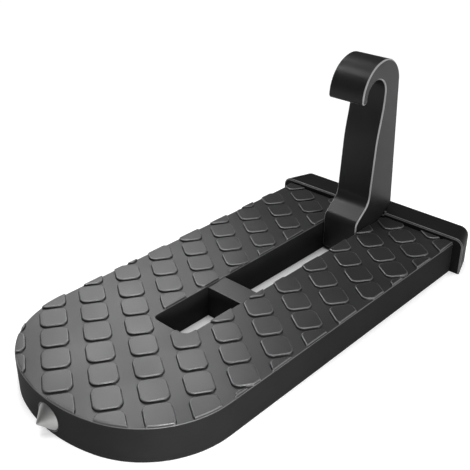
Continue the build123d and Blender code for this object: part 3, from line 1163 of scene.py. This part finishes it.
def turned(name: str, profile: Sequence[Pair], steps: int = 48) -> Piece:
    """A solid turned about the z axis.

    Args:
        name: The object's name.
        profile: Each point's radius and height, in millimetres. It starts and ends on the axis or is closed.
        steps: The steps of a full turn.

    Returns:
        The solid.
    """
    shape = bmesh.new()
    angles = [2 * math.pi * i / steps for i in range(steps)]
    rings = []
    for radius, height in profile:
        around = angles if radius else angles[:1]
        points = [Vector((radius * math.cos(a), radius * math.sin(a), height)) * MM for a in around]
        rings.append([shape.verts.new(point) for point in points])
    following = rings[1:] + rings[:1] if profile[0][0] else rings[1:]
    for low, high in zip(rings, following):
        for i in range(steps):
            j = (i + 1) % steps
            loop = (low[i % len(low)], low[j % len(low)], high[j % len(high)], high[i % len(high)])
            shape.faces.new(list(dict.fromkeys(loop)))
    bmesh.ops.recalc_face_normals(shape, faces=shape.faces)
    return from_bmesh(name, shape)


def combine(piece: Piece, tool: Piece, operation: str = "DIFFERENCE") -> Piece:
    """Cuts or trims a piece by another solid, which is used up.

    Args:
        piece: The piece.
        tool: The other solid.
        operation: The boolean operation.

    Returns:
        The piece, as plain mesh.
    """
    change = piece.modifiers.new("trim", "BOOLEAN")
    change.operation = operation
    change.object = tool
    change.solver = "EXACT"
    baked(piece)
    bpy.data.objects.remove(tool)
    return piece


def eased(node: str, name: str, edge: Edge, *materials: Finish) -> Piece:
    """A copy of a CAD node with its edges rounded.

    Args:
        node: The CAD node.
        name: The piece's name.
        edge: How its edges are finished.
        materials: Its finish, and that of its edges where they differ, a lighter coat that is a painted
            highlight.

    Returns:
        The piece.
    """
    piece = dress(node_copy(node, name), *materials)
    return soften(piece, edge.value, highlight_edge_slot=len(materials) - 1)


@dataclass
class Bumper:
    """The rubber bumper with its screws and washers."""

    finishes: Finishes
    screw: Screw = Screw(2.7, 1.6, 1.5, 7.7, 1.08, 0.96)
    washer_radius: float = 3.5
    washer_bore: float = 1.55
    washer_thickness: float = 0.8
    washer_round: float = 0.12
    washer_steps: int = 40

    def build(self) -> None:
        """Builds the bumper and its fasteners."""
        # The rubber's rounded edges take the lighter edge coat: a painted highlight.
        skin = (self.finishes.rubber, self.finishes.rubber_edge_highlight)
        rubber = eased("end_bumper", "bumper_rubber", Edge.EASED, *skin)
        seat(rubber, PLATE_BODY, "rubber_black", "end_bumper")
        screws = self.screw.place("bumper_screw_pair", "bumper_screws", self.finishes.zinc)
        seat(screws, PLATE_BODY, "steel_bright", "bumper_screws")
        width = 2 * self.washer_radius
        washers = fastener(self.washer(), self.finishes.zinc, node="bumper_washers", width=width)
        seat(washers, PLATE_BODY, "steel_bright", "bumper_washers")

    def washer(self) -> Piece:
        """One flat washer with the rounded rims of a stamping, lying on the ground.

        Returns:
            The washer.
        """
        bore, rim = self.washer_bore, self.washer_radius
        high, ease = self.washer_thickness, self.washer_round
        profile = [(bore, 0), (rim - ease, 0), (rim, ease), (rim, high - ease), (rim - ease, high)]
        profile += [(bore + ease, high), (bore, high - ease)]
        return turned("bumper_washer_pair", profile, self.washer_steps)


@dataclass
class HingeSet:
    """The hinge pin, its straps, their screws and the friction washers."""

    finishes: Finishes
    screw: Screw = Screw(2.6, 1.5, 1.5, 7.6, 1.08, 0.9)

    def build(self) -> None:
        """Builds the hinge's pieces."""
        zinc, nylon = self.finishes.zinc, self.finishes.nylon
        seat(eased("hinge_pin", "pin_turned", Edge.SOFT, zinc), PLATE_BODY, "steel_bright", "hinge_pin")
        for side in ("near", "far"):
            strap = eased(f"{side}_pin_strap", f"{side}_strap_plate", Edge.EASED, zinc)
            seat(strap, PLATE_BODY, "steel_bright", f"{side}_pin_strap")
            washer = eased(f"{side}_friction_washer", f"{side}_washer_disc", Edge.CRISP, nylon)
            seat(washer, HOOK_BODY, "washer_plastic", f"{side}_friction_washer")
        screws = self.screw.place("strap_screw_set", "strap_screws", zinc)
        seat(screws, PLATE_BODY, "steel_bright", "strap_screws")


@dataclass
class Tip:
    """The window-breaking cone with its washer and nut. Sizes are in millimetres."""

    finishes: Finishes
    cone_radius: float = 4.8
    cone_length: float = 4.55
    point_radius: float = 0.25
    stud_radius: float = 2.5
    stud_length: float = 13.85
    plain_length: float = 7.6
    thread_pitch: float = 0.8
    thread_depth: float = 0.4
    run_in: float = 0.3
    end_cut: float = 0.4
    rim_round: tuple[Pair, ...] = ((-0.3, 0.0), (-0.12, 0.02), (-0.08, 0.08), (-0.16, 0.16))
    point_round: tuple[Pair, ...] = ((0.06, -0.06), (-0.1, 0.0))
    cone_steps: int = 96
    ring_radius: float = 4.5
    ring_bore: float = 2.6
    ring_thickness: float = 1.2
    ring_turn: float = 0.965
    ring_climb: float = 0.02
    ring_steps: int = 64
    nut_flats: float = 8.0
    nut_height: float = 4.0
    nut_clearance: float = 0.05
    nut_bore_cut: float = 0.3
    nut_corner_cut: float = 0.45
    nut_corner_slope: float = 1.4
    nut_spare: float = 0.1

    def build(self) -> None:
        """Builds the cone with its stud, the split washer and the nut."""
        seat(self.point(), PLATE_BODY, "tip_steel", "hammer_tip")
        seat(self.spring_ring(), PLATE_BODY, "steel_bright", "tip_spring_washer")
        seat(self.nut(), PLATE_BODY, "steel_bright", "tip_nut")

    def axis_height(self) -> float:
        """The height of the stud's axis, in metres."""
        low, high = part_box("hammer_tip")
        return (low.z + high.z) / 2

    def point(self) -> Piece:
        """The cone, in one with its threaded stud.

        Returns:
            The cone.
        """
        core, shank, end = self.stud_radius - self.thread_depth, self.stud_radius, self.end_cut
        base, top = self.stud_length, self.stud_length + self.cone_length
        threaded = base - self.plain_length
        profile = [(0, 0), (core - end, 0), (core, end), (core, threaded), (shank, threaded + self.run_in)]
        profile += [(shank, base)]
        profile += [(self.cone_radius + out, base + up) for out, up in self.rim_round]
        profile += [(self.point_radius + out, top + up) for out, up in self.point_round]
        thread = Winding(core, self.thread_pitch, end, threaded - 2 * end, self.thread_depth)
        piece = turned("hammer_point", [*profile, (0, top)], self.cone_steps)
        return self.laid(fastener(piece, self.finishes.tip, thread), "hammer_tip")

    def spring_ring(self) -> Piece:
        """The split spring washer, pressed flat.

        Returns:
            The washer.
        """
        middle = (self.ring_radius + self.ring_bore) / 2
        width, high = self.ring_radius - self.ring_bore, self.ring_thickness
        pitch = self.ring_climb / self.ring_turn
        bar = Winding(middle, pitch, high / 2, self.ring_climb, width, high, self.ring_steps)
        piece = link("spring_ring", bpy.data.meshes.new("spring_ring"))
        return self.laid(fastener(piece, self.finishes.zinc, bar), "tip_spring_washer")

    def nut(self) -> Piece:
        """The six-sided nut with its corners turned off.

        Returns:
            The nut.
        """
        bore, high = self.stud_radius + self.nut_clearance, self.nut_height
        cut, bore_cut = self.nut_corner_cut, self.nut_bore_cut
        corner = self.nut_flats / math.sqrt(3)
        rim, face = corner + self.nut_spare, corner - cut * self.nut_corner_slope
        profile = [(bore, bore_cut), (bore + bore_cut, 0), (face, 0), (rim, cut)]
        profile += [(rim, high - cut), (face, high), (bore + bore_cut, high), (bore, high - bore_cut)]
        flats = prism("flats", hexagon(corner, high / 2), 2 * high * MM)
        piece = dress(combine(turned("nut_body", profile), flats, "INTERSECT"), self.finishes.zinc)
        return self.laid(smooth_curves(piece, SHARP), "tip_nut")

    def laid(self, piece: Piece, node: str) -> Piece:
        """Lays a piece's z axis along the stud, its ground at a CAD node's back.

        Args:
            piece: The piece.
            node: The CAD node that it stands for.

        Returns:
            The piece.
        """
        place = Matrix.Translation((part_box(node)[0].x, 0, self.axis_height()))
        piece.data.transform(place @ Matrix.Rotation(math.pi / 2, 4, "Y"))
        return piece


@dataclass(frozen=True)
class Lamp:
    """A soft rectangular studio lamp.

    Args:
        name: The lamp's name.
        place: Where it stands, in metres.
        aim: What it points at, in metres.
        size: Its two sides, in metres.
        power: Its power, in watts.
        spread: The angle of its beam, in degrees, as a grid on a softbox narrows it.
    """

    name: str
    place: Triple
    aim: Triple
    size: Pair
    power: float
    spread: float = 180.0

    def build(self) -> None:
        """Puts the lamp into the scene."""
        data = bpy.data.lights.new(self.name, "AREA")
        data.shape = "RECTANGLE"
        data.size, data.size_y = self.size
        data.energy = self.power
        data.spread = math.radians(self.spread)
        lamp = bpy.data.objects.new(self.name, data)
        lamp.location = self.place
        toward = Vector(self.aim) - Vector(self.place)
        lamp.rotation_mode = "QUATERNION"
        lamp.rotation_quaternion = toward.to_track_quat("-Z", "Y")
        lamp.visible_camera = False
        bpy.context.scene.collection.objects.link(lamp)


@dataclass
class Studio:
    """The floor, the lamps, the world and the camera.

    Lengths are in metres and angles in degrees, but the lens and its sensor are in millimetres.
    """

    floor_half: float = 6.0
    floor_colour: Colour = (0.88, 0.88, 0.88)
    floor_glow: float = 0.35
    # Where the floor's painted shadow under the plate lies, and over what distances its glow comes back.
    shade_x: float = -0.02
    shade_ends: Pair = (0.06, 0.075)
    shade_sides: Pair = (0.02, 0.038)
    world_glow: float = 0.08
    sun_power: float = 2.1
    sun_width: float = 40.0
    sun_height: float = 2.0
    camera_place: Triple = (0.18920, 0.16893, 0.17143)
    camera_aim: Triple = (-0.64808, -0.59347, -0.47727)
    camera_roll: float = 0.175
    camera_lens: float = 61.04
    camera_sensor: float = 36.0
    camera_reach: Pair = (0.01, 50.0)

    def build(self) -> None:
        """Builds everything that is not part of the step."""
        self.camera()
        self.floor()
        self.world()
        for lamp in self.lamps():
            lamp.build()
        self.daylight()
        bpy.context.scene.view_settings.view_transform = "Standard"

    def camera(self) -> None:
        """The camera at the photograph's viewing angle."""
        data = bpy.data.cameras.new("camera")
        data.lens = self.camera_lens
        data.sensor_width = self.camera_sensor
        data.clip_start, data.clip_end = self.camera_reach
        made = bpy.data.objects.new("camera", data)
        made.location = self.camera_place
        made.rotation_mode = "QUATERNION"
        level = Vector(self.camera_aim).to_track_quat("-Z", "Y")
        made.rotation_quaternion = level @ Quaternion((0, 0, 1), math.radians(self.camera_roll))
        bpy.context.scene.collection.objects.link(made)
        bpy.context.scene.camera = made

    def floor(self) -> None:
        """The plain pale floor, which glows less where the plate covers it: a painted shadow under the
        plate.
        """
        shape = bmesh.new()
        signs = ((-1, -1), (1, -1), (1, 1), (-1, 1))
        shape.faces.new([shape.verts.new((x * self.floor_half, y * self.floor_half, 0)) for x, y in signs])
        made = from_bmesh("floor", shape)
        material, board = new_material("floor_white")
        rays = board.node("ShaderNodeLightPath")
        seen = (rays + rays.beside("Is Glossy Ray") + rays.beside("Is Transmission Ray")).held()
        where = board.node("ShaderNodeSeparateXYZ", {}, {0: board.node("ShaderNodeTexCoord", out="Object")})
        # Painted shadow: the glow fades out over the plate's footprint, and the floor there shows only its
        # diffuse shade.
        shaded_x = 1 - (where - self.shade_x).absolute().step(*self.shade_ends)
        shaded_y = 1 - where.beside("Y").absolute().step(*self.shade_sides)
        glow_outside_painted_shadow = seen * (1 - shaded_x * shaded_y)
        matt = board.node("ShaderNodeBsdfDiffuse", {}, {"Color": opaque(self.floor_colour)})
        glow = board.node("ShaderNodeEmission", {}, {"Color": (1, 1, 1, 1), "Strength": self.floor_glow})
        lit = board.node("ShaderNodeAddShader", {}, {0: matt, 1: glow})
        surface = board.node("ShaderNodeMixShader", {}, {0: glow_outside_painted_shadow, 1: matt, 2: lit})
        board.node("ShaderNodeOutputMaterial", {}, {"Surface": surface})
        made.data.materials.append(material)

    def world(self) -> None:
        """A plain dim world, which fills the shadows a little."""
        world = bpy.data.worlds.new("studio")
        world.use_nodes = True
        world.node_tree.nodes.clear()
        board = Board(world.node_tree)
        glow = board.node("ShaderNodeBackground", {}, {"Color": (1, 1, 1, 1), "Strength": self.world_glow})
        board.node("ShaderNodeOutputWorld", {}, {"Surface": glow})
        bpy.context.scene.world = world

    def lamps(self) -> list[Lamp]:
        """The studio's lamps.

        Returns:
            The lamps over and before the nose, over the hook's toe, beside the plate and over the backdrop.
        """
        return [
            Lamp("key", (-0.125, -0.24, 0.257), (0.085, 0.01, 0.013), (0.16, 0.16), 0.052, 46),
            Lamp("front", (0.17, 0.22, 0.05), (0.07, 0.035, 0.01), (0.08, 0.08), 0.045, 40),
            Lamp("toe", (0.041, -0.17, 0.31), (-0.046, 0.0, 0.01), (0.08, 0.08), 0.012, 24),
            Lamp("side", (0.02, 0.5, 0.11), (0.0, 0.0, 0.01), (0.25, 0.25), 1.2),
            Lamp("backdrop", (-0.30, 0.20, 0.40), (-0.30, 0.18, 0.0), (0.20, 0.20), 0.25, 60),
        ]

    def daylight(self) -> None:
        """An even, soft light from above."""
        data = bpy.data.lights.new("above", "SUN")
        data.energy = self.sun_power
        data.angle = math.radians(self.sun_width)
        lamp = bpy.data.objects.new("above", data)
        lamp.location = (0.0, 0.0, self.sun_height)
        bpy.context.scene.collection.objects.link(lamp)


def main() -> None:
    """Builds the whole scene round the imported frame."""
    logging.basicConfig(level=logging.INFO, format="%(name)s: %(message)s")
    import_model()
    finishes = Finishes()
    Studio().build()
    Plate(finishes).build()
    Hook(finishes).build()
    Bumper(finishes).build()
    HingeSet(finishes).build()
    Tip(finishes).build()


if __name__ == "__main__":
    main()
